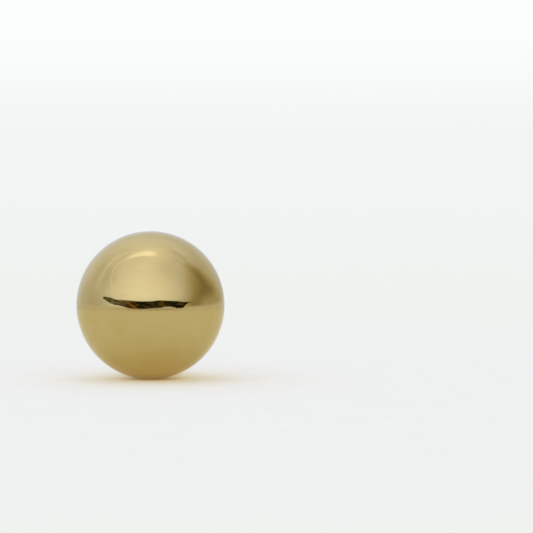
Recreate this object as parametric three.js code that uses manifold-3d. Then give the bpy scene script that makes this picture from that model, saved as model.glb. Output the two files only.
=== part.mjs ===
import * as THREE from 'three';
import { mergeVertices } from 'three/addons/utils/BufferGeometryUtils.js';
import Module from 'manifold-3d';

// A polished gold dome earring with a clip behind it, standing on a table.
// Lengths are in millimetres. +Z is up, the dome's face looks along -Y, and the clip is on the +Y side.
// The origin is on the table, under the middle of the earring's depth.

// Dome: a thin pressed shell, most of a ball, open at its mouth behind.
const dome_diameter = 19;
const dome_depth = 14;
const shell_wall = 0.5;

// Back plate: a flat disc in the dome's mouth, standing a little proud of the rim.
const plate_thickness = 1.2;
const plate_proud = 0.3;
const plate_edge_round = 0.25;
const plate_clearance = 0.3;

// Clip: one bent strip, a tab on the plate, a thick sole on the table and a paddle behind the ear lobe.
const lobe_gap = 4.6;
const tab_thickness = 0.9;
const tab_height = 4.4;
const tab_edge_margin = 0.15;
const sole_thickness = 2.2;
const sole_width = 4.8;
const toe_setback = 2.8;
const heel_round = 3.2;
const paddle_thickness = 1.3;
const clip_width = 8.4;
const clip_height = 13.3;

// How finely the round forms are divided.
const turns_of_dome = 72;
const outer_rings = 32;
const inner_rings = 20;
const arc_steps = 12;

// Places that follow from the sizes, measured from the middle of the ball.
const outer_radius = dome_diameter / 2;
const inner_radius = outer_radius - shell_wall;
const mouth_y = dome_depth - outer_radius;
const rim_inner_radius = Math.sqrt(inner_radius ** 2 - mouth_y ** 2);
const plate_radius = rim_inner_radius - plate_clearance;
const plate_back_y = mouth_y + plate_proud;
const plate_front_y = plate_back_y - plate_thickness;
const tab_back_y = plate_back_y + tab_thickness;
const paddle_front_y = tab_back_y + lobe_gap;
const clip_back_y = paddle_front_y + paddle_thickness;

// The middle of the ball in the earring's own frame.
const ball_centre = new THREE.Vector3(0, (outer_radius - clip_back_y) / 2, outer_radius);

// Heights on the clip, measured from the table. The tab's lower corners stay on the plate.
const tab_corner_drop = Math.sqrt((plate_radius - tab_edge_margin) ** 2 - (clip_width / 2) ** 2);
const tab_low_z = outer_radius - tab_corner_drop;
const tab_top_z = tab_low_z + tab_height;

const polished_gold = new THREE.MeshStandardMaterial({ color: 0xc9a95c, roughness: 0.05, metalness: 1 });
const plain_gold = new THREE.MeshStandardMaterial({ color: 0xc2a052, roughness: 0.2, metalness: 1 });

// Points on a circle about the ball's middle, from one angle to another, as (radius, y).
// The angle is zero at the front of the dome and grows towards the mouth.
function dome_arc(radius, start, end, steps) {
  const points = [];
  for (let i = 0; i <= steps; i += 1) {
    const angle = start + (end - start) * i / steps;
    points.push(new THREE.Vector2(radius * Math.sin(angle), -radius * Math.cos(angle)));
  }
  return points;
}

// The shell's section runs along the outside to the mouth, across the rim, and back along the inside.
function dome_geometry() {
  const outer_end = Math.acos(-mouth_y / outer_radius);
  const inner_end = Math.acos(-mouth_y / inner_radius);
  const section = [
    ...dome_arc(outer_radius, 0, outer_end, outer_rings),
    ...dome_arc(inner_radius, inner_end, 0, inner_rings),
  ];
  section[0].x = 0;
  section[section.length - 1].x = 0;
  const half_turn = Math.PI / turns_of_dome;
  return new THREE.LatheGeometry(section, turns_of_dome, half_turn);
}

// A disc with rounded edges, turned about the dome's own axis.
function plate_geometry() {
  const outline = new THREE.Path();
  const edge = plate_radius - plate_edge_round;
  outline.moveTo(0, plate_front_y);
  outline.lineTo(edge, plate_front_y);
  outline.absarc(edge, plate_front_y + plate_edge_round, plate_edge_round, -Math.PI / 2, 0, false);
  outline.absarc(edge, plate_back_y - plate_edge_round, plate_edge_round, 0, Math.PI / 2, false);
  outline.lineTo(0, plate_back_y);
  return new THREE.LatheGeometry(outline.getPoints(arc_steps / 3), turns_of_dome, Math.PI / turns_of_dome);
}

// The clip seen from the side, y across and z up: round toe, flat sole, round heel, paddle, the round
// bottom of the lobe's gap, and the tab.
function clip_side() {
  const side = new THREE.Shape();
  const tip_round = paddle_thickness / 2;
  const tab_round = tab_thickness / 2;
  const gap_round = lobe_gap / 2;
  const gap_centre_z = sole_thickness + gap_round;
  side.moveTo(plate_back_y, tab_low_z);
  side.absellipse(plate_back_y + toe_setback, tab_low_z, toe_setback, tab_low_z, Math.PI, 1.5 * Math.PI, false);
  side.absarc(clip_back_y - heel_round, heel_round, heel_round, -Math.PI / 2, 0, false);
  side.absarc(paddle_front_y + tip_round, clip_height - tip_round, tip_round, 0, Math.PI, false);
  side.absarc(tab_back_y + gap_round, gap_centre_z, gap_round, 0, -Math.PI, true);
  side.absarc(plate_back_y + tab_round, tab_top_z - tab_round, tab_round, 0, Math.PI, false);
  return side;
}

// The clip seen from behind, x across and z up: a narrow sole, upright sides and a half-round top.
function clip_front() {
  const front = new THREE.Shape();
  const half_width = clip_width / 2;
  const half_flat = sole_width / 2;
  const corner = half_width - half_flat;
  front.moveTo(-half_flat, 0);
  front.absarc(half_flat, corner, corner, -Math.PI / 2, 0, false);
  front.absarc(0, clip_height - half_width, half_width, 0, Math.PI, false);
  front.absarc(-half_flat, corner, corner, Math.PI, 1.5 * Math.PI, false);
  return front;
}

const wasm = await Module();
wasm.setup();

// A closed geometry as a solid that can be cut.
function solid_from(geometry) {
  const bare = geometry.clone();
  bare.deleteAttribute('normal');
  bare.deleteAttribute('uv');
  const merged = mergeVertices(bare, 1e-5);
  const vertProperties = Float32Array.from(merged.attributes.position.array);
  const triVerts = Uint32Array.from(merged.index.array);
  return new wasm.Manifold(new wasm.Mesh({ numProp: 3, vertProperties, triVerts }));
}

// The cut solid as a geometry again.
function geometry_from(solid) {
  const mesh = solid.getMesh();
  const geometry = new THREE.BufferGeometry();
  geometry.setAttribute('position', new THREE.BufferAttribute(mesh.vertProperties, 3));
  geometry.setIndex(new THREE.BufferAttribute(mesh.triVerts, 1));
  geometry.computeVertexNormals();
  return geometry;
}

// The clip is what the side form, drawn out across the width, and the rear form, drawn out along
// the depth, have in common.
function clip_geometry() {
  const side = new THREE.ExtrudeGeometry(clip_side(), {
    depth: clip_width,
    bevelEnabled: false,
    curveSegments: arc_steps,
  });
  side.applyMatrix4(new THREE.Matrix4().makeBasis(
    new THREE.Vector3(0, 1, 0),
    new THREE.Vector3(0, 0, 1),
    new THREE.Vector3(1, 0, 0),
  ));
  side.translate(-clip_width / 2, 0, 0);

  const front = new THREE.ExtrudeGeometry(clip_front(), {
    depth: clip_back_y - plate_back_y,
    bevelEnabled: false,
    curveSegments: 2 * arc_steps,
  });
  front.applyMatrix4(new THREE.Matrix4().makeRotationX(Math.PI / 2));
  front.translate(0, clip_back_y, 0);

  return geometry_from(solid_from(side).intersect(solid_from(front)));
}

function named_mesh(name, geometry, material) {
  const mesh = new THREE.Mesh(geometry, material);
  mesh.name = name;
  return mesh;
}

const earring = new THREE.Group();
earring.name = 'earring';

const dome_shell = named_mesh('dome_shell', dome_geometry(), polished_gold);
dome_shell.position.copy(ball_centre);

const back_plate = named_mesh('back_plate', plate_geometry(), plain_gold);
back_plate.position.copy(ball_centre);

const ear_clip = named_mesh('ear_clip', clip_geometry(), plain_gold.clone());
ear_clip.position.set(0, ball_centre.y, 0);

earring.add(dome_shell, back_plate, ear_clip);

export default earring;
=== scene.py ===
import math

import bmesh
import bpy
import numpy as np
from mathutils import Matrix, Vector


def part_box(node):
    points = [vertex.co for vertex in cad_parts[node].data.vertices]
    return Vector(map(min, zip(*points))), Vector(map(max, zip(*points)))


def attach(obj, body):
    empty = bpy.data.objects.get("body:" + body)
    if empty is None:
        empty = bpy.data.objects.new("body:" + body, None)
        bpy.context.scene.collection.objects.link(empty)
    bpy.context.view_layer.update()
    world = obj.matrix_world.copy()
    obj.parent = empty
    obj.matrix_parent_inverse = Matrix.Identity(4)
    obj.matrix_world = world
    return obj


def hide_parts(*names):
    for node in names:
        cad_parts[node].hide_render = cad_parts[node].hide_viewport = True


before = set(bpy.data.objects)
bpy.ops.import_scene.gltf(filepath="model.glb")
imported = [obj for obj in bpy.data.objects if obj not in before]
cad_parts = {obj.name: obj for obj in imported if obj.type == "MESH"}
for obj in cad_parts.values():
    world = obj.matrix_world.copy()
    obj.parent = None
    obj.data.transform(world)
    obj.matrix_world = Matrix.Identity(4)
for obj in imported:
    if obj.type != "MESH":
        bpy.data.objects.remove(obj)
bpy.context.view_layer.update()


# Dome
# The front of the earring: a ball of thin brass sheet, pressed and spun, left open behind.
# It is gold plated and buffed to a mirror. Its free edge is rolled smooth, and it stands on the table.

MM = 0.001
dome_low, dome_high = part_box("dome_shell")
ball_radius = (dome_low.z + dome_high.z) / 2
ball_centre = Vector((0, dome_low.y + ball_radius, ball_radius))
mouth_depth = dome_high.y - ball_centre.y
shell_wall = 0.5 * MM
dent_depth = 0.008 * MM
dent_waves = 7
lip_mark_width = 0.22 * MM
buffing_depth = 0.0006 * MM
dome_columns = 320
dome_outer_steps = 150
dome_lip_steps = 8
dome_inner_steps = 36


def grid_faces(rows, columns, wrap):
    """Quads between the points of a rows by columns grid. wrap joins its last column to its first."""
    index = np.arange(rows * columns).reshape(rows, columns)
    right = np.roll(index, -1, axis=1)
    last = columns if wrap else columns - 1
    quads = np.stack([index[:-1], right[:-1], right[1:], index[1:]], axis=-1)
    return quads[:, :last].reshape(-1, 4)


def piece_from(name, points, faces, marks=None):
    """A smooth mesh object from metres and quads, its doubles merged and its faces turned outwards.

    marks maps the name of a point attribute to one number a point, such as how near an edge it is.
    """
    mesh = bpy.data.meshes.new(name)
    mesh.from_pydata(points.reshape(-1, 3).tolist(), [], faces.tolist())
    for label, values in (marks or {}).items():
        layer = mesh.attributes.new(label, "FLOAT", "POINT")
        layer.data.foreach_set("value", np.ascontiguousarray(values, dtype=np.float32).ravel())
    work = bmesh.new()
    work.from_mesh(mesh)
    bmesh.ops.remove_doubles(work, verts=work.verts, dist=1e-4 * MM)
    bmesh.ops.dissolve_degenerate(work, edges=work.edges, dist=1e-5 * MM)
    bmesh.ops.recalc_face_normals(work, faces=work.faces)
    work.to_mesh(mesh)
    work.free()
    mesh.polygons.foreach_set("use_smooth", np.ones(len(mesh.polygons), dtype=bool))
    piece = bpy.data.objects.new(name, mesh)
    bpy.context.scene.collection.objects.link(piece)
    return piece


def turned(radius, depth, columns):
    """A profile turned about the front-to-back axis: (r sin a, y, -r cos a) for each turn angle a."""
    angle = np.linspace(0, 2 * np.pi, columns, endpoint=False)
    x = radius[:, None] * np.sin(angle)
    z = -radius[:, None] * np.cos(angle)
    y = np.broadcast_to(depth[:, None], x.shape)
    return np.stack([x, y, z], axis=-1)


def dome_section():
    """The shell's section as radius, depth and distance from the lip.

    An arc of the ball's radius runs from the front pole to the mouth, a half circle as wide as the
    wall turns round the lip, and an arc less the wall runs back to the inner pole.
    """
    half = shell_wall / 2
    middle = ball_radius - half
    end = math.acos(-(mouth_depth - half) / middle)
    out = np.linspace(0, end, dome_outer_steps)
    turn = np.linspace(0, np.pi, dome_lip_steps + 2)[1:-1]
    back = np.linspace(end, 0, dome_inner_steps)
    reach = np.concatenate([
        np.full(dome_outer_steps, ball_radius),
        middle + half * np.cos(turn),
        np.full(dome_inner_steps, ball_radius - shell_wall),
    ])
    along = np.concatenate([np.zeros(dome_outer_steps), half * np.sin(turn), np.zeros(dome_inner_steps)])
    angle = np.concatenate([out, np.full(dome_lip_steps, end), back])
    radius = reach * np.sin(angle) + along * np.cos(angle)
    depth = -reach * np.cos(angle) + along * np.sin(angle)
    to_lip = np.concatenate([(end - out) * ball_radius, np.zeros(dome_lip_steps), (end - back) * middle])
    radius[0] = radius[-1] = 0
    return radius, depth, to_lip


def hand_finished(points):
    """Shallow inward waves, as buffing leaves.

    Their depth follows the mean of a few sines, each of the point's height along a direction of its own.
    """
    draw = np.random.default_rng(19)
    directions = draw.normal(size=(dent_waves, 3))
    directions /= np.linalg.norm(directions, axis=1, keepdims=True)
    waves = draw.uniform(2.5, 6.5, dent_waves)
    starts = draw.uniform(0, 2 * np.pi, dent_waves)
    unit = points / np.linalg.norm(points, axis=-1, keepdims=True)
    height = np.sin((unit @ directions.T) * waves + starts).mean(axis=-1)
    return points - unit * (dent_depth * (0.5 + 0.5 * height))[..., None]


dome_radius_line, dome_depth_line, lip_distance = dome_section()
dome_points = turned(dome_radius_line, dome_depth_line, dome_columns)
dome_points[:dome_outer_steps] = hand_finished(dome_points[:dome_outer_steps])
dome_points += np.array(ball_centre)
near_lip = np.exp(-((lip_distance / lip_mark_width) ** 2))
is_inside = (np.arange(len(lip_distance)) >= dome_outer_steps + dome_lip_steps) * 1.0
dome = piece_from(
    "dome",
    dome_points,
    grid_faces(len(dome_radius_line), dome_columns, wrap=True),
    {"edge": np.repeat(near_lip, dome_columns), "inside": np.repeat(is_inside, dome_columns)},
)


def node(tree, kind, inputs=None, **settings):
    """Adds one shader node, sets its properties, and sets or joins its inputs by name or number."""
    made = tree.nodes.new(kind)
    for label, setting in settings.items():
        setattr(made, label, setting)
    for label, given in (inputs or {}).items():
        if isinstance(given, bpy.types.NodeSocket):
            tree.links.new(given, made.inputs[label])
        else:
            made.inputs[label].default_value = given
    return made


def maths(tree, operation, *terms):
    """A Math node's result."""
    return node(tree, "ShaderNodeMath", dict(enumerate(terms)), operation=operation).outputs[0]


def eased(tree, value, start, end, low=0.0, high=1.0):
    """Goes smoothly from low to high as value goes from start to end, and stays there outside."""
    steps = {"Value": value, "From Min": start, "From Max": end, "To Min": low, "To Max": high}
    return node(tree, "ShaderNodeMapRange", steps, interpolation_type="SMOOTHSTEP").outputs["Result"]


def mixed(tree, share, first, second):
    """A colour between first and second, each given as red, green and blue or as a socket."""
    # The share and the two colours of a Mix node are sockets 0, 6 and 7, because their names repeat.
    ends = [given if isinstance(given, bpy.types.NodeSocket) else (*given, 1.0) for given in (first, second)]
    return node(tree, "ShaderNodeMix", {0: share, 6: ends[0], 7: ends[1]}, data_type="RGBA").outputs[2]


def noise(tree, place, scale, detail, roughness=0.5, distortion=0.0):
    """A noise texture's value at a place."""
    inputs = {"Vector": place, "Scale": scale, "Detail": detail, "Roughness": roughness,
              "Distortion": distortion}
    return node(tree, "ShaderNodeTexNoise", inputs).outputs[0]


def rescaled(tree, place, scale, turn=(0.0, 0.0, 0.0)):
    """A place scaled along each axis and then turned. A small scale draws a pattern out along that axis."""
    return node(tree, "ShaderNodeMapping", {"Vector": place, "Rotation": turn, "Scale": scale}).outputs[0]


def point_mark(tree, name):
    """A point attribute of the mesh, such as how near an edge it is."""
    return node(tree, "ShaderNodeAttribute", attribute_name=name).outputs["Fac"]


def effect(name, inputs, output):
    """A new shader node group; gives its tree, its inputs by name, and the socket that its result joins."""
    tree = bpy.data.node_groups.new(name, "ShaderNodeTree")
    for label, kind in inputs.items():
        tree.interface.new_socket(label, in_out="INPUT", socket_type="NodeSocket" + kind)
    result_kind = "NodeSocketColor" if output == "Color" else "NodeSocketFloat"
    tree.interface.new_socket(output, in_out="OUTPUT", socket_type=result_kind)
    given = tree.nodes.new("NodeGroupInput").outputs
    return tree, given, tree.nodes.new("NodeGroupOutput").inputs[output]


def placed(tree, group, inputs):
    """The result of an effect group that is put into a material with its own values."""
    return node(tree, "ShaderNodeGroup", inputs, node_tree=group).outputs[0]


def build_hairlines():
    """Fine scratches from side to side: noise drawn out along X, kept where it peaks, in patches.

    Each turn of the drawn-out place gives another set of lines, so that no set repeats another.
    """
    tree, given, result = effect(
        "hairlines", {"Vector": "Vector", "Fineness": "Float", "Rarity": "Float"}, "Lines"
    )
    peak = maths(tree, "ADD", given["Rarity"], 0.06)
    total = 0.0
    for turn in ((0.1, 0.0, 0.35), (0.5, 0.2, -0.6), (1.2, -0.4, 1.3)):
        drawn = rescaled(tree, given["Vector"], (0.04, 1.0, 1.0), turn)
        lines = noise(tree, drawn, given["Fineness"], 1.0)
        total = maths(tree, "ADD", total, eased(tree, lines, given["Rarity"], peak))
    patch = noise(tree, given["Vector"], 0.55, 2.0)
    kept = maths(tree, "MULTIPLY", total, eased(tree, patch, 0.42, 0.62))
    tree.links.new(maths(tree, "MINIMUM", kept, 1.0), result)
    return tree


def build_wipe_marks():
    """Faint smears left by a cloth: broad noise drawn out along one way, with soft edges."""
    tree, given, result = effect("wipe_marks", {"Vector": "Vector", "Size": "Float"}, "Smear")
    drawn = rescaled(tree, given["Vector"], (0.45, 1.0, 1.3), (0.3, 0.2, 0.5))
    smear = noise(tree, drawn, given["Size"], 5.0, 0.62, 0.6)
    tree.links.new(eased(tree, smear, 0.44, 0.72), result)
    return tree


def build_gold_tone():
    """Uneven plating: two golds mixed by broad and by drawn-out noise, and dark where dirt gathers."""
    dirt_brown = (0.10, 0.065, 0.028)
    tree, given, result = effect(
        "gold_tone", {"Vector": "Vector", "Pale": "Color", "Warm": "Color", "Dirt": "Float"}, "Color"
    )
    cloud = noise(tree, given["Vector"], 0.16, 3.0)
    wipe = noise(tree, rescaled(tree, given["Vector"], (0.07, 1.0, 1.0)), 1.3, 4.0, 0.6)
    share = maths(tree, "ADD", maths(tree, "MULTIPLY", cloud, 0.5), maths(tree, "MULTIPLY", wipe, 0.5))
    plated = mixed(tree, eased(tree, share, 0.36, 0.64), given["Pale"], given["Warm"])
    fleck = noise(tree, given["Vector"], 5.0, 3.0, 0.6)
    gathered = maths(tree, "MULTIPLY", given["Dirt"], eased(tree, fleck, 0.3, 0.65, 0.55, 1.0))
    tree.links.new(mixed(tree, gathered, plated, dirt_brown), result)
    return tree


def build_worn_edge():
    """Where an edge is rubbed: the edge mark broken up by a noise, so that it shows in patches."""
    tree, given, result = effect("worn_edge", {"Vector": "Vector", "Edge": "Float"}, "Wear")
    rub = noise(tree, given["Vector"], 1.4, 4.0, 0.6)
    tree.links.new(maths(tree, "MULTIPLY", given["Edge"], eased(tree, rub, 0.36, 0.64)), result)
    return tree


hairlines = build_hairlines()
wipe_marks = build_wipe_marks()
gold_tone = build_gold_tone()
worn_edge = build_worn_edge()


def in_millimetres(tree):
    """The piece's own coordinates in millimetres, measured from the middle of the ball."""
    own = node(tree, "ShaderNodeTexCoord").outputs["Object"]
    from_middle = {0: own, 1: tuple(ball_centre)}
    centred = node(tree, "ShaderNodeVectorMath", from_middle, operation="SUBTRACT").outputs[0]
    return node(tree, "ShaderNodeVectorMath", {0: centred, "Scale": 1 / MM}, operation="SCALE").outputs[0]


def new_metal(name):
    """A bare metal material; gives the material, its node tree and its Principled shader."""
    material = bpy.data.materials.new(name)
    material.use_nodes = True
    tree = material.node_tree
    shader = tree.nodes["Principled BSDF"]
    shader.inputs["Metallic"].default_value = 1.0
    shader.inputs["Specular Tint"].default_value = (0.94, 0.93, 0.84, 1.0)
    return material, tree, shader


def plated_tone(tree, place, pale, warm, dirt):
    """The plating's colour between two golds, each given as red, green and blue."""
    golds = {"Vector": place, "Pale": (*pale, 1.0), "Warm": (*warm, 1.0), "Dirt": dirt}
    return placed(tree, gold_tone, golds)


def surfaced(tree, shader, tone, rough, relief, depth):
    """Joins a colour, a roughness and a bump of the given depth to the shader."""
    tree.links.new(tone, shader.inputs["Base Color"])
    tree.links.new(rough, shader.inputs["Roughness"])
    bump = node(tree, "ShaderNodeBump", {"Strength": 1.0, "Distance": depth, "Height": relief})
    tree.links.new(bump.outputs[0], shader.inputs["Normal"])


def mirror_gold():
    """The buffed dome: a mirror with a trace of buffing lines, faint cloth smears and a few hairlines."""
    material, tree, shader = new_metal("mirror_gold")
    place = in_millimetres(tree)
    edge = point_mark(tree, "edge")
    wear = placed(tree, worn_edge, {"Vector": place, "Edge": edge})
    lines = placed(tree, hairlines, {"Vector": place, "Fineness": 7.0, "Rarity": 0.72})
    smear = placed(tree, wipe_marks, {"Vector": place, "Size": 0.34})
    dirt = maths(tree, "MULTIPLY", edge, 0.25)
    tone = plated_tone(tree, place, (0.568, 0.436, 0.169), (0.548, 0.412, 0.146), dirt)
    rough = maths(tree, "MULTIPLY_ADD", smear, 0.035, 0.022)
    rough = maths(tree, "MULTIPLY_ADD", lines, 0.05, rough)
    rough = maths(tree, "MULTIPLY_ADD", wear, 0.10, rough)
    rough = maths(tree, "MULTIPLY_ADD", point_mark(tree, "inside"), 0.38, rough)
    buffing = noise(tree, rescaled(tree, place, (0.12, 1.0, 1.0)), 3.2, 3.0, 0.55)
    relief = maths(tree, "MULTIPLY_ADD", lines, -0.5, buffing)
    surfaced(tree, shader, tone, rough, relief, buffing_depth)
    return material


dome.data.materials.append(mirror_gold())
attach(dome, "root")
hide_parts("dome_shell")


# Back plate
# A brass disc, turned on a lathe and gold plated, set in the dome's mouth a hair proud of the lip.
# It was faced from the middle outwards, so fine rings run round it, and a shallow groove rings its edge.

plate_low, plate_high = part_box("back_plate")
plate_flats = 72  # the solid disc has flats, and its box is measured across them
plate_radius = plate_high.x / math.cos(math.pi / plate_flats)
plate_round = 0.25 * MM
plate_mark_width = 0.35 * MM
groove_radius = 6.75 * MM
groove_half_width = 0.16 * MM
groove_depth = 0.07 * MM
ring_depth = 0.0045 * MM
plate_columns = 256


def plate_section():
    """The disc's section: out along the grooved back face, round the edge, and in along the front."""
    flat = plate_radius - plate_round
    face = np.concatenate([
        np.linspace(0, groove_radius - 2 * groove_half_width, 24),
        np.linspace(groove_radius - 1.9 * groove_half_width, groove_radius + 1.9 * groove_half_width, 15),
        [flat],
    ])
    cut = groove_depth * np.clip(1 - ((face - groove_radius) / groove_half_width) ** 2, 0, 1)
    turn = np.linspace(0, np.pi / 2, 9)
    radius = [
        face,
        flat + plate_round * np.sin(turn[1:]),
        flat + plate_round * np.cos(turn),
        [0.0],
    ]
    depth = [
        plate_high.y - cut,
        plate_high.y - plate_round * (1 - np.cos(turn[1:])),
        plate_low.y + plate_round * (1 - np.sin(turn)),
        [plate_low.y],
    ]
    return np.concatenate(radius), np.concatenate(depth)


plate_radius_line, plate_depth_line = plate_section()
plate_points = turned(plate_radius_line, plate_depth_line, plate_columns)
plate_points[..., 2] += ball_centre.z
near_edge = np.exp(-(((plate_radius - plate_radius_line) / plate_mark_width) ** 2))
near_groove = np.exp(-(((groove_radius - plate_radius_line) / groove_half_width) ** 2))
plate = piece_from(
    "plate",
    plate_points,
    grid_faces(len(plate_radius_line), plate_columns, wrap=True),
    {"edge": np.repeat(near_edge, plate_columns), "groove": np.repeat(near_groove, plate_columns)},
)


def turned_gold():
    """The faced disc: satin rings of uneven depth about the middle, with dirt in the groove and edge."""
    material, tree, shader = new_metal("turned_gold")
    place = in_millimetres(tree)
    edge = point_mark(tree, "edge")
    parts = node(tree, "ShaderNodeSeparateXYZ", {0: place}).outputs
    across = maths(tree, "MULTIPLY", parts["X"], parts["X"])
    upright = maths(tree, "MULTIPLY", parts["Z"], parts["Z"])
    radius = maths(tree, "SQRT", maths(tree, "ADD", across, upright))
    ring_place = node(tree, "ShaderNodeCombineXYZ", {"X": radius}).outputs[0]
    rings = noise(tree, ring_place, 14.0, 4.0, 0.7)
    wear = placed(tree, worn_edge, {"Vector": place, "Edge": edge})
    lines = placed(tree, hairlines, {"Vector": place, "Fineness": 6.0, "Rarity": 0.66})
    smear = placed(tree, wipe_marks, {"Vector": place, "Size": 0.5})
    groove_dirt = maths(tree, "MULTIPLY", point_mark(tree, "groove"), 0.55)
    dirt = maths(tree, "MAXIMUM", groove_dirt, maths(tree, "MULTIPLY", edge, 0.25))
    tone = plated_tone(tree, place, (0.60, 0.47, 0.192), (0.56, 0.42, 0.152), dirt)
    rough = eased(tree, rings, 0.3, 0.7, 0.2, 0.3)
    rough = maths(tree, "MULTIPLY_ADD", smear, 0.07, rough)
    rough = maths(tree, "MULTIPLY_ADD", wear, -0.08, rough)
    relief = maths(tree, "MULTIPLY_ADD", lines, -0.6, rings)
    surfaced(tree, shader, tone, rough, relief, ring_depth)
    return material


plate.data.materials.append(turned_gold())
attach(plate, "root")
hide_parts("back_plate")


# Ear clip
# A strip of thick brass bent into a U, polished along its length, tumbled and gold plated. A tab is fixed
# flat on the plate, a thick sole stands on the table, and a paddle holds the ear lobe from behind.

clip_low, clip_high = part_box("ear_clip")
clip_depth = clip_high.y - clip_low.y
clip_half_width = clip_high.x
clip_height = clip_high.z
paddle_thickness = 1.3 * MM
lobe_gap = 4.6 * MM
tab_thickness = clip_depth - lobe_gap - paddle_thickness
tab_low = 3.270 * MM
tab_top = tab_low + 4.4 * MM
tab_corner = 0.7 * MM
sole_thickness = 2.2 * MM
sole_half_width = 2.4 * MM
toe_setback = 2.8 * MM
heel_round = 3.2 * MM
edge_round = 0.30 * MM
edge_mark_width = 0.3 * MM
sole_blend = 0.08 * MM
grain_depth = 0.005 * MM
clip_rows = 240
clip_columns = 72


def clip_rails(share):
    """The strip's two long edges seen from the side, as (y, z) on its lobe side and on its outer side.

    share runs 0 to 1 down the tab, 1 to 2 and 2 to 3 round the two halves of the bend, and 3 to 4 up the
    paddle. The lobe side's bend is a half circle. The outer side has an elliptic toe, a flat sole and a
    round heel, and draws level with the lobe side on its way up the paddle.
    """
    gap_round = lobe_gap / 2
    gap_z = sole_thickness + gap_round
    down, first, second, up = (np.clip(share - k, 0, 1) for k in range(4))
    turn = np.pi * (1 + 0.5 * first + 0.5 * second)
    lobe_y = tab_thickness + gap_round * (1 + np.cos(turn))
    lobe_z = gap_z + gap_round * np.sin(turn)
    lobe_z = lobe_z + (tab_top - gap_z) * (1 - down) + (clip_height - gap_z) * up

    flat = clip_depth - heel_round - toe_setback
    toe_turn = np.pi * (1 + 0.5 * np.clip(first / 0.9, 0, 1))
    heel_turn = np.pi * 0.5 * (3 + np.clip((second - 0.1) / 0.9, 0, 1))
    along_flat = flat / 2 * (np.clip((first - 0.9) / 0.1, 0, 1) + np.clip(second / 0.1, 0, 1))
    toe_y = toe_setback * (1 + np.cos(toe_turn))
    toe_z = tab_low * (1 + np.sin(toe_turn)) + (tab_top - tab_low) * (1 - down)
    heel_y = toe_setback + heel_round * np.cos(heel_turn)
    heel_z = heel_round * (1 + np.sin(heel_turn))
    catch_up = 1 - (1 - np.clip(up / 0.35, 0, 1)) ** 2
    paddle_z = heel_round + (gap_z - heel_round) * catch_up + (clip_height - gap_z) * up
    outer_y = np.where(share < 2, toe_y, heel_y) + along_flat
    outer_z = np.where(share < 2, toe_z, np.where(share > 3, paddle_z, heel_z))
    return (lobe_y, lobe_z), (outer_y, outer_z)


def clip_inset(x, z, on_tab):
    """How far a point of the strip's face lies inside the strip's outline seen from behind.

    The paddle ends in a half circle as wide as the strip. The tab ends square with rounded corners.
    """
    side = clip_half_width - np.abs(x)
    round_z = clip_height - clip_half_width
    above = np.clip(z - round_z, 0, None)
    paddle = clip_half_width - np.hypot(x, above)
    corner_x = np.clip(np.abs(x) - (clip_half_width - tab_corner), 0, None)
    corner_z = np.clip(z - (tab_top - tab_corner), 0, None)
    beyond = tab_corner - np.hypot(corner_x, corner_z)
    tab = np.where((corner_x > 0) | (corner_z > 0), beyond, tab_corner)
    return np.clip(np.where(on_tab, np.minimum(tab, side), np.where(z > round_z, paddle, side)), 0, None)


def clip_width_at(z, on_tab):
    """Half the strip's width at a height, from the same outline."""
    above = np.clip(z - (clip_height - clip_half_width), 0, clip_half_width)
    paddle = np.sqrt(np.clip(clip_half_width**2 - above**2, 0, None))
    over = np.clip(z - (tab_top - tab_corner), 0, tab_corner)
    tab = clip_half_width - tab_corner + np.sqrt(np.clip(tab_corner**2 - over**2, 0, None))
    return np.where(on_tab, tab, paddle)


def under_rounded(x, z, share):
    """The outer face's heights lifted to a quarter circle beyond the sole, so that the sole is narrower.

    A point's new height is half of its height, its lift, and the root of their difference squared and
    sole_blend squared, less half of sole_blend: the larger of the two, with a soft change between them.
    """
    under = clip_half_width - sole_half_width
    beyond = np.clip(np.abs(x) - sole_half_width, 0, under)
    lift = under - np.sqrt(np.clip(under**2 - beyond**2, 0, None))
    lifted = 0.5 * (z + lift + np.sqrt((z - lift) ** 2 + sole_blend**2)) - 0.5 * sole_blend
    return np.maximum(np.where(share[:, None] > 1, lifted, z), 0)


def clip_sheets():
    """The strip's lobe face and outer face as grids of points, their edge marks, and the way along.

    Rows follow the rails and columns cross the strip, closer together at the ends and sides. Each face
    sinks along a quarter circle within edge_round of the outline, which rounds the edges.
    """
    step = np.linspace(0, np.pi / 2, clip_rows // 4 + 1)
    bend = np.linspace(1, 3, clip_rows // 2 + 1)[1:]
    share = np.concatenate([1 - np.cos(step), bend, 3 + np.sin(step[1:])])
    across = np.sin(np.linspace(-np.pi / 2, np.pi / 2, clip_columns))[None, :]
    lobe, outer = clip_rails(share)
    on_tab = (share < 1)[:, None]
    middle = [(a + b) / 2 for a, b in zip(lobe, outer)]
    grids = []
    marks = []
    for rail in (lobe, outer):
        z = rail[1][:, None] + np.zeros_like(across)
        x = across * clip_width_at(z, on_tab)
        inset = clip_inset(x, z, on_tab)
        short = np.clip(edge_round - inset, 0, None)
        sunk = edge_round - np.sqrt(np.clip(edge_round**2 - short**2, 0, None))
        towards = np.stack([middle[0] - rail[0], middle[1] - rail[1]])
        towards = (towards / np.linalg.norm(towards, axis=0))[..., None]
        y = rail[0][:, None] + towards[0] * sunk
        z = z + towards[1] * sunk
        if rail is outer:
            z = under_rounded(x, z, share)
        grids.append(np.stack([x, y + clip_low.y, z], axis=-1))
        marks.append(np.exp(-((inset / edge_mark_width) ** 2)))
    return grids, marks, share


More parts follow.
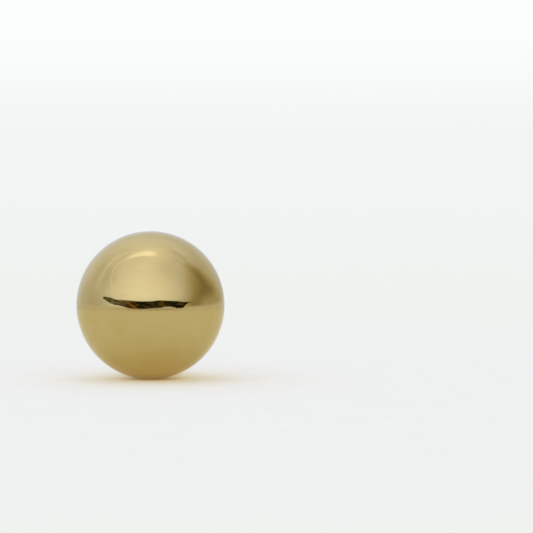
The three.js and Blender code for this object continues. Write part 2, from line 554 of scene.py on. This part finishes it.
def clip_piece():
    """The two faces joined all round by a band between their outlines."""
    (lobe, outer), edge_marks, share = clip_sheets()
    count = lobe.shape[0] * clip_columns
    index = np.arange(count).reshape(-1, clip_columns)
    rim = np.concatenate([index[0], index[1:, -1], index[-1, -2::-1], index[-2:0:-1, 0]])
    band = np.stack([rim, np.roll(rim, -1), np.roll(rim, -1) + count, rim + count], axis=-1)
    sheet = grid_faces(lobe.shape[0], clip_columns, wrap=False)
    faces = np.concatenate([sheet, sheet[:, ::-1] + count, band])
    points = np.concatenate([lobe.reshape(-1, 3), outer.reshape(-1, 3)])
    along = np.tile(np.repeat(share, clip_columns), 2)
    return piece_from("clip", points, faces, {"edge": np.concatenate(edge_marks), "along": along})


clip = clip_piece()


def clip_gold():
    """The strip: polished along its length, tumbled, a little dull, with rubbed edges."""
    material, tree, shader = new_metal("clip_gold")
    place = in_millimetres(tree)
    edge = point_mark(tree, "edge")
    along = maths(tree, "MULTIPLY", point_mark(tree, "along"), 0.35)
    parts = node(tree, "ShaderNodeSeparateXYZ", {0: place}).outputs
    strip = node(tree, "ShaderNodeCombineXYZ", {"X": parts["X"], "Y": along}).outputs[0]
    grain = noise(tree, strip, 8.0, 4.0, 0.65)
    wear = placed(tree, worn_edge, {"Vector": place, "Edge": edge})
    lines = placed(tree, hairlines, {"Vector": place, "Fineness": 6.0, "Rarity": 0.66})
    smear = placed(tree, wipe_marks, {"Vector": place, "Size": 0.45})
    tone = plated_tone(tree, place, (0.60, 0.47, 0.192), (0.565, 0.43, 0.161), 0.0)
    rough = eased(tree, grain, 0.3, 0.7, 0.09, 0.15)
    rough = maths(tree, "MULTIPLY_ADD", smear, 0.08, rough)
    rough = maths(tree, "MULTIPLY_ADD", wear, 0.1, rough)
    relief = maths(tree, "MULTIPLY_ADD", lines, -0.6, grain)
    surfaced(tree, shader, tone, rough, relief, grain_depth)
    return material


clip.data.materials.append(clip_gold())
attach(clip, "root")
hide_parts("ear_clip")


# Table
# A pale matt board under the earring, cool in tone. Two fifths of its brightness is painted light, a warm
# glow of its own, which makes its shadows light and warm. The glow is weaker and browner close under the
# earring, as painted shade. It fades out towards its round edge, so that it runs into the pale surroundings
# with no line.

table_radius = 260 * MM
table_solid_to = 70 * MM
table_gone_at = 150 * MM
table_drop = 0.012 * MM
table_rows = 60
table_columns = 128
# The board's glow is painted light. It is weaker and browner near the earring, as painted shade.
painted_contact_glow = (0.20, 0.108, 0.034)
painted_table_glow = (0.48, 0.348, 0.166)
painted_contact_glow_to = 0.8 * MM
painted_table_glow_from = 5.2 * MM

table_rings = np.linspace(0, table_radius, table_rows)
table_points = turned(table_rings, np.zeros_like(table_rings), table_columns)[..., [0, 2, 1]]
table_points[..., 2] = -table_drop
table = piece_from("table", table_points, grid_faces(table_rows, table_columns, wrap=True))


def matt_white_painted_glow():
    """Matt white with a soft blotchy grain and a warm glow of its own, which is painted light.

    The glow is weaker and browner under the earring, as painted shade.
    """
    material = bpy.data.materials.new("matt_white_painted_glow")
    material.use_nodes = True
    tree = material.node_tree
    shader = tree.nodes["Principled BSDF"]
    shader.inputs["Roughness"].default_value = 0.9
    shader.inputs["Specular IOR Level"].default_value = 0.1
    # The board glows: painted light.
    shader.inputs["Emission Strength"].default_value = 1.0
    own = node(tree, "ShaderNodeTexCoord").outputs["Object"]
    blotch = eased(tree, noise(tree, own, 170.0, 6.0, 0.6), 0.25, 0.75)
    # Cool, so that in full light it adds up with the warm painted glow to white.
    tone = mixed(tree, blotch, (0.372, 0.494, 0.524), (0.388, 0.512, 0.542))
    tree.links.new(tone, shader.inputs["Base Color"])
    off = node(tree, "ShaderNodeVectorMath", {0: own}, operation="LENGTH").outputs["Value"]
    # Painted light: the warm glow, weaker and browner close under the earring as painted shade.
    glow = mixed(tree, eased(tree, off, painted_contact_glow_to, painted_table_glow_from), painted_contact_glow, painted_table_glow)
    tree.links.new(glow, shader.inputs["Emission Color"])
    tree.links.new(eased(tree, off, table_gone_at, table_solid_to), shader.inputs["Alpha"])
    return material


table.data.materials.append(matt_white_painted_glow())


# Light
# A white light tent: bright in front and left of the middle, with a strip lamp overhead, a brownish dark
# side on the right, and a low dark opening in front. The camera sees a plain pale surround instead of it.

world = bpy.data.worlds.new("light_tent")
bpy.context.scene.world = world
world.use_nodes = True
tent = world.node_tree
tent.nodes.clear()
way = node(tent, "ShaderNodeTexCoord").outputs["Generated"]
way_parts = node(tent, "ShaderNodeSeparateXYZ", {0: way}).outputs
forward = maths(tent, "MULTIPLY", way_parts["Y"], -1.0)
bearing = maths(tent, "DEGREES", maths(tent, "ARCTAN2", way_parts["X"], forward))
rise = maths(tent, "DEGREES", maths(tent, "ARCSINE", way_parts["Z"]))


def through(points, degrees, reach):
    """A value that runs smoothly through (degrees, value) points and stays within plus or minus reach."""
    share = maths(tent, "MULTIPLY_ADD", degrees, 1 / 360, 0.5)
    made = node(tent, "ShaderNodeFloatCurve", {"Value": share})
    knots = made.mapping.curves[0].points
    while len(knots) < len(points):
        knots.new(0.5, 0.5)
    for knot, (turn, value) in zip(knots, points):
        knot.location = (turn / 360 + 0.5, value / reach / 2 + 0.5)
    made.mapping.update()
    return maths(tent, "MULTIPLY_ADD", made.outputs[0], 2 * reach, -reach)


def side_panel(centre, spread, height, depth):
    """A darker side wall, widest at the table and drawn to a point above; 1 outside it."""
    off = maths(tent, "DIVIDE", maths(tent, "ABSOLUTE", maths(tent, "SUBTRACT", bearing, centre)), spread)
    up = maths(tent, "DIVIDE", maths(tent, "MAXIMUM", rise, 0.0), height)
    return eased(tent, maths(tent, "ADD", off, up), 0.45, 1.05, 1.0 - depth, 1.0)


def crease(line, width, gain, foot=12.0):
    """A bright or dark fold in the cloth along a line of (rise, bearing) points, fading at both ends."""
    off = maths(tent, "SUBTRACT", bearing, through(line, rise, 180.0))
    near = eased(tent, maths(tent, "ABSOLUTE", off), 0.0, width, gain, 0.0)
    ends = maths(tent, "MULTIPLY", eased(tent, rise, foot, foot + 20.0), eased(tent, rise, 76.0, 58.0))
    return maths(tent, "MULTIPLY", near, ends)


def between_values(first, second, share):
    """A number between first and second."""
    rest = maths(tent, "SUBTRACT", 1.0, share)
    return maths(tent, "ADD", maths(tent, "MULTIPLY", first, rest), maths(tent, "MULTIPLY", second, share))


def walls():
    """The light of the cloth walls by bearing, which blends into the roof's as the direction rises.

    The points were set to follow how bright the dome in the photograph mirrors each bearing.
    """
    side_points = (
        (-180, 0.94), (-150, 1.01), (-120, 0.95), (-105, 0.89), (-88, 0.88), (-74, 1.02), (-60, 1.20),
        (-45, 1.31), (-28, 1.40), (-5, 1.39), (15, 1.34), (30, 1.23), (45, 1.06), (60, 0.87),
        (78, 0.72), (110, 0.70), (145, 0.82), (180, 0.94),
    )
    upper_points = (
        (-180, 1.11), (-150, 1.14), (-120, 1.07), (-90, 1.12), (-60, 1.21), (-30, 1.31), (-8, 1.33),
        (15, 1.24), (40, 1.07), (70, 1.00), (100, 0.98), (140, 1.06), (180, 1.11),
    )
    sides = through(side_points, bearing, 2.0)
    above = through(upper_points, bearing, 2.0)
    roof = eased(tent, rise, 76.0, 90.0, 1.25, 1.46)
    level = between_values(sides, above, eased(tent, rise, 30.0, 58.0))
    level = between_values(level, roof, eased(tent, rise, 58.0, 80.0))
    level = maths(tent, "MULTIPLY", level, side_panel(91.0, 60.0, 66.0, 0.32))
    level = maths(tent, "MULTIPLY", level, side_panel(101.0, 48.0, 46.0, 0.35))
    return maths(tent, "MULTIPLY", level, side_panel(-118.0, 34.0, 52.0, 0.09))


def folded(level):
    """The walls with two bright folds on the left and a dark one on the right.

    Their foot is dim all round, but for a lit stretch on the right.
    """
    front_fold = ((0, -56), (18, -62), (26, -71), (38, -82), (46, -89), (58, -92), (76, -92))
    rear_fold = ((0, -88), (22, -98), (38, -105), (50, -115), (70, -118))
    dark_fold = ((0, 100), (20, 108), (30, 106), (38, 102), (45, 101), (53, 111), (60, 119), (76, 128))
    level = maths(tent, "ADD", level, crease(front_fold, 4.5, 0.14))
    level = maths(tent, "ADD", level, crease(rear_fold, 8.0, 0.14))
    level = maths(tent, "ADD", level, crease(dark_fold, 18.0, -0.15, 18.0))
    level = maths(tent, "MULTIPLY", level, eased(tent, rise, 0.0, 20.0, 0.88, 1.0))
    right_foot = maths(
        tent, "MULTIPLY", eased(tent, bearing, 66.0, 98.0), eased(tent, bearing, 148.0, 118.0)
    )
    return maths(tent, "MULTIPLY_ADD", right_foot, eased(tent, rise, 15.0, 0.0, 0.0, 0.30), level)


def squared_share(value, centre, half):
    """How far value lies from centre as a share of half, squared."""
    return maths(tent, "POWER", maths(tent, "DIVIDE", maths(tent, "SUBTRACT", value, centre), half), 2.0)


def strip_lamp():
    """The lamp's light: an ellipse overhead, brightest in its middle and cut off along its near edge."""
    from_middle = maths(
        tent, "ADD", squared_share(way_parts["X"], -0.18, 0.36), squared_share(way_parts["Y"], -0.02, 0.17)
    )
    lamp = eased(tent, from_middle, 0.0, 1.0, 0.44, 0.0)
    near_edge = maths(tent, "MULTIPLY_ADD", way_parts["X"], 0.12, maths(tent, "ADD", way_parts["Y"], 0.075))
    overhead = maths(tent, "MULTIPLY", eased(tent, near_edge, -0.03, 0.02), eased(tent, rise, 0.0, 30.0))
    return maths(tent, "MULTIPLY", lamp, overhead)


def cloth_light():
    """The colour of the lit cloth by direction, cool where it is bright and brown where it is dark."""
    cool = (0.915, 0.975, 1.265)
    brown = (1.09, 0.99, 0.69)
    level = maths(tent, "ADD", strip_lamp(), folded(walls()))
    tint = mixed(tent, eased(tent, level, 0.95, 0.3), cool, brown)
    return node(tent, "ShaderNodeVectorMath", {0: tint, "Scale": level}, operation="SCALE").outputs[0]


def opening():
    """The low dark opening in front, ragged along its foot: 1 inside it, and degrees in from its edges.

    The points were set to follow its reflection in the photograph's dome.
    """
    upper_points = (
        (-84, 10.1), (-67, 10.6), (-54, 8.8), (-40, 9.0), (-15, 8.3), (3, 8.7), (12, 9.6), (27, 8.9),
        (40, 7.8), (52, 6.0), (66, 4.7), (84, 3.8),
    )
    lower_points = (
        (-84, 10.3), (-70, 5.5), (-58, 2.3), (-46, 0.9), (-30, -2.4), (-15, -3.0), (3, -1.8), (15, -1.1),
        (25, 0.1), (34, -0.4), (43, -2.2), (50, -2.0), (56, 2.0), (66, 4.5), (84, 3.9),
    )
    upper = through(upper_points, bearing, 20.0)
    lower = through(lower_points, bearing, 20.0)
    wander = {"W": bearing, "Scale": 0.35, "Detail": 2.0}
    ragged = node(tent, "ShaderNodeTexNoise", wander, noise_dimensions="1D").outputs[0]
    lower = maths(tent, "ADD", lower, maths(tent, "MULTIPLY_ADD", ragged, 1.6, -0.8))
    from_top = maths(tent, "SUBTRACT", upper, rise)
    from_foot = maths(tent, "SUBTRACT", rise, lower)
    inside = maths(tent, "MULTIPLY", eased(tent, from_top, -1.2, 0.5), eased(tent, from_foot, -0.4, 0.4))
    ends = maths(tent, "MULTIPLY", eased(tent, bearing, -83.0, -78.0), eased(tent, bearing, 84.0, 62.0))
    return maths(tent, "MULTIPLY", inside, ends), maths(tent, "MINIMUM", from_top, from_foot)


def opening_gloom(depth):
    """What shows in the opening: near black with brown blotches, grey green at its left end, one streak."""
    near_black = (0.013, 0.014, 0.007)
    dim_brown = (0.125, 0.087, 0.031)
    dark_green = (0.11, 0.12, 0.08)
    grey_green = (0.29, 0.305, 0.24)
    warm_streak = (0.31, 0.135, 0.046)
    blotch = noise(tent, rescaled(tent, way, (1.0, 1.0, 3.0)), 6.0, 4.0)
    dark = mixed(tent, eased(tent, blotch, 0.44, 0.70), near_black, dim_brown)
    green = mixed(tent, eased(tent, blotch, 0.35, 0.62), dark_green, grey_green)
    left_end = eased(tent, bearing, -30.0, -62.0)
    greened = maths(tent, "MULTIPLY", left_end, eased(tent, depth, 0.1, 1.6, 0.25, 1.0))
    dark = mixed(tent, greened, dark, green)
    slant = maths(tent, "ADD", maths(tent, "MULTIPLY_ADD", rise, 1.5, bearing), 25.5)
    streak = eased(tent, maths(tent, "ABSOLUTE", slant), 1.2, 5.2, 0.9, 0.0)
    streak = maths(tent, "MULTIPLY", streak, eased(tent, blotch, 0.30, 0.50, 0.45, 1.0))
    return mixed(tent, streak, dark, warm_streak)


def reflected_tent():
    """All that the metal and the table get their light from: far table, cloth and opening."""
    in_front = maths(tent, "MULTIPLY", eased(tent, bearing, -62.0, -14.0), eased(tent, bearing, 72.0, 22.0))
    far_table = mixed(tent, in_front, (0.80, 0.80, 0.88), (0.62, 0.60, 0.598))
    lit = mixed(tent, eased(tent, rise, 1.5, -2.4), cloth_light(), far_table)
    open_here, open_depth = opening()
    return mixed(tent, open_here, lit, opening_gloom(open_depth))


def plain_tent():
    """What the camera sees: an even pale surround, a little darker at its foot and on the far table."""
    surround = mixed(tent, eased(tent, rise, 0.5, 3.2), (0.885, 0.910, 0.900), (0.965, 0.985, 0.975))
    return mixed(tent, eased(tent, rise, -3.0, 0.4), (0.868, 0.888, 0.868), surround)


to_camera = node(tent, "ShaderNodeLightPath").outputs["Is Camera Ray"]
shown = mixed(tent, to_camera, reflected_tent(), plain_tent())
shining = node(tent, "ShaderNodeBackground", {"Color": shown, "Strength": 1.0})
node(tent, "ShaderNodeOutputWorld", {"Surface": shining.outputs[0]})
bpy.context.scene.view_settings.view_transform = "Standard"


# Camera
# A long lens straight in front of the dome's face, 3 degrees up from the middle of the ball. It is aimed
# right of the dome and above it, so that the earring stands left of the picture's middle and below it.

picture_side = 533
dome_pixel = (150.5, 304.9)
dome_pixel_radius = 74.0
camera_rise = math.radians(3.0)
distance_in_pixels = 2600.0
pixel = ball_radius / dome_pixel_radius

lens = bpy.data.cameras.new("camera")
lens.sensor_width = 36.0
lens.lens = lens.sensor_width * distance_in_pixels / picture_side
lens.clip_start = 1 * MM
lens.clip_end = 10000 * MM
camera = bpy.data.objects.new("camera", lens)
bpy.context.scene.collection.objects.link(camera)
bpy.context.scene.camera = camera
backwards = Vector((0, -math.cos(camera_rise), math.sin(camera_rise)))
upwards = Vector((0, math.sin(camera_rise), math.cos(camera_rise)))
camera.location = ball_centre + backwards * distance_in_pixels * pixel
side_pixels = picture_side / 2 - dome_pixel[0]
up_pixels = dome_pixel[1] - picture_side / 2
aim = ball_centre + Vector((1, 0, 0)) * side_pixels * pixel + upwards * up_pixels * pixel
camera.rotation_euler = (aim - camera.location).to_track_quat("-Z", "Y").to_euler()
